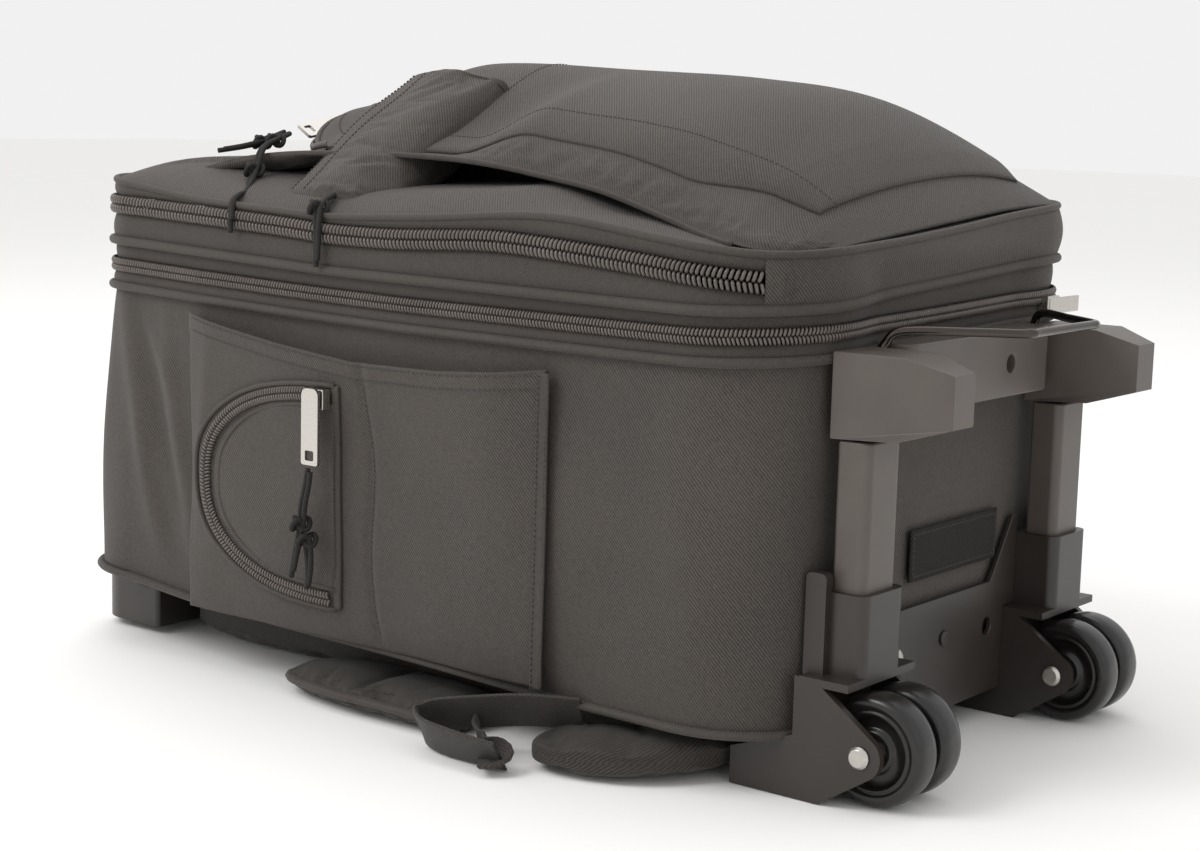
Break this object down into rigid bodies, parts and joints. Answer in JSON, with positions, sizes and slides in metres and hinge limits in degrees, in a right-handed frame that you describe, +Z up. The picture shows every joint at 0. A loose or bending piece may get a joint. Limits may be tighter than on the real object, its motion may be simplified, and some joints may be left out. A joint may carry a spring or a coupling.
{
  "type": "rolling flight bag",
  "caption": "Soft wheeled flight bag lying on its back, with a zipped lid, expansion gusset, telescoping handle, twin wheels, feet, pockets and folded shoulder straps.",
  "frame": {"origin": "on the ground under the middle of the bag's box, with the bag lying on its back as it does in the picture", "axes": "+X from the telescoping handle's end to the wheels, +Z up through the lid, which is the bag's front when it stands, -Y the side with the slip pocket"},
  "size_m": [0.5968, 0.41, 0.3524],
  "materials": {
    "fabric": "matt diagonal-weave polyester",
    "binding": "matt herringbone tape",
    "zipper": "satin nylon coil on woven tape",
    "plastic": "satin fine-textured moulded plastic",
    "dark_plastic": "satin moulded plastic",
    "tyre": "satin moulded polyurethane",
    "steel": "satin zinc-plated steel",
    "nickel": "satin nickel plate",
    "wire": "black-chrome plate",
    "aluminium": "satin anodised",
    "cord": "matt braided polyester"
  },
  "bodies": {
    "case": {"lower_shell": "fabric", "frame_board": "dark_plastic", "back_pad": "fabric", "handle_housing": "plastic", "outer_tube_frame": "aluminium", "wheel_housing_near": "dark_plastic", "wheel_housing_far": "dark_plastic", "axle_near": "steel", "axle_far": "steel", "strut_near": "plastic", "strut_far": "plastic", "foot_near": "plastic", "foot_far": "plastic", "cross_bar": "plastic", "base_plate": "dark_plastic", "plate_rivet_near": "steel", "plate_rivet_centre": "dark_plastic", "hook_patch": "binding", "side_pocket": "fabric", "d_pocket": "fabric", "d_zip_slider": "nickel", "expansion_zip_lower": "zipper", "gusset": "fabric", "strap_pad_near": "fabric", "strap_pad_far": "fabric", "strap_tail_near": "fabric", "strap_tail_far": "fabric", "strap_webbing_near": "binding", "strap_webbing_far": "binding"},
    "rim": {"expansion_zip_upper": "zipper", "rim_band": "binding", "main_zip_lower": "zipper", "expansion_slider": "nickel"},
    "lid": {"main_zip_upper": "zipper", "lid_panel": "fabric", "front_slip_panel": "fabric", "front_pocket": "fabric", "front_slider": "nickel", "hidden_pull": "nickel", "hidden_pull_cord": "cord"},
    "main_slider_near": {"main_slider_near": "nickel"},
    "main_slider_far": {"main_slider_far": "nickel"},
    "front_pull": {"front_pull": "nickel", "pull_cord_short": "cord", "pull_cord_long": "cord"},
    "carry_handle": {"carry_handle": "fabric"},
    "side_pull": {"d_pull": "nickel", "side_cord_long": "cord", "side_cord_short": "cord"},
    "handle_middle": {"middle_tube_near": "aluminium", "middle_tube_far": "aluminium"},
    "handle_inner": {"inner_tube_near": "aluminium", "inner_tube_far": "aluminium", "grip": "dark_plastic"},
    "grip_button": {"grip_button": "plastic"},
    "bail": {"bail": "wire"},
    "wheel_near_outer": {"wheel_near_outer": "tyre"},
    "wheel_near_inner": {"wheel_near_inner": "tyre"},
    "wheel_far_outer": {"wheel_far_outer": "tyre"},
    "wheel_far_inner": {"wheel_far_inner": "tyre"}
  },
  "joints": [
    {"name": "rim_lift", "type": "slide", "parent": "case", "child": "rim", "axis": [0, 0, 1], "range_m": [0, 0.04], "deforming": ["gusset"]},
    {"name": "lid_hinge", "type": "hinge", "parent": "rim", "child": "lid", "pos_m": [0.23181, 0, 0.25625], "axis": [0, 1, 0], "range_deg": [0, 105]},
    {"name": "main_slider_near_run", "type": "slide", "parent": "rim", "child": "main_slider_near", "axis": [0, -1, 0], "range_m": [0, 0.1]},
    {"name": "main_slider_far_run", "type": "slide", "parent": "rim", "child": "main_slider_far", "axis": [0, 1, 0], "range_m": [0, 0.1]},
    {"name": "front_pull_swing", "type": "hinge", "parent": "lid", "child": "front_pull", "pos_m": [-0.18569, -0.021, 0.32], "axis": [-1, 0, 0], "range_deg": [0, 100]},
    {"name": "carry_handle_lift", "type": "hinge", "parent": "lid", "child": "carry_handle", "pos_m": [-0.06339, -0.093, 0.3145], "axis": [0, 0.8944, 0.4472], "range_deg": [0, 80]},
    {"name": "side_pull_swing", "type": "hinge", "parent": "case", "child": "side_pull", "pos_m": [-0.05439, -0.1841, 0.178], "axis": [-1, 0, 0], "range_deg": [0, 100]},
    {"name": "handle_stage_1", "type": "slide", "parent": "case", "child": "handle_middle", "axis": [-1, 0, 0], "range_m": [0, 0.27]},
    {"name": "handle_stage_2", "type": "slide", "parent": "handle_middle", "child": "handle_inner", "axis": [-1, 0, 0], "range_m": [0, 0.27]},
    {"name": "grip_button_press", "type": "slide", "parent": "handle_inner", "child": "grip_button", "axis": [1, 0, 0], "range_m": [0, 0.0025], "stiffness_N_per_m": 400},
    {"name": "bail_swing", "type": "hinge", "parent": "case", "child": "bail", "pos_m": [0.23791, 0, 0.216], "axis": [0, 1, 0], "range_deg": [-50, 0]},
    {"name": "wheel_near_outer_spin", "type": "hinge", "parent": "case", "child": "wheel_near_outer", "pos_m": [0.26661, -0.1145, 0.028], "axis": [0, 1, 0], "continuous": true},
    {"name": "wheel_near_inner_spin", "type": "hinge", "parent": "case", "child": "wheel_near_inner", "pos_m": [0.26661, -0.0905, 0.028], "axis": [0, 1, 0], "continuous": true},
    {"name": "wheel_far_outer_spin", "type": "hinge", "parent": "case", "child": "wheel_far_outer", "pos_m": [0.26661, 0.1145, 0.028], "axis": [0, 1, 0], "continuous": true},
    {"name": "wheel_far_inner_spin", "type": "hinge", "parent": "case", "child": "wheel_far_inner", "pos_m": [0.26661, 0.0905, 0.028], "axis": [0, 1, 0], "continuous": true}
  ]
}
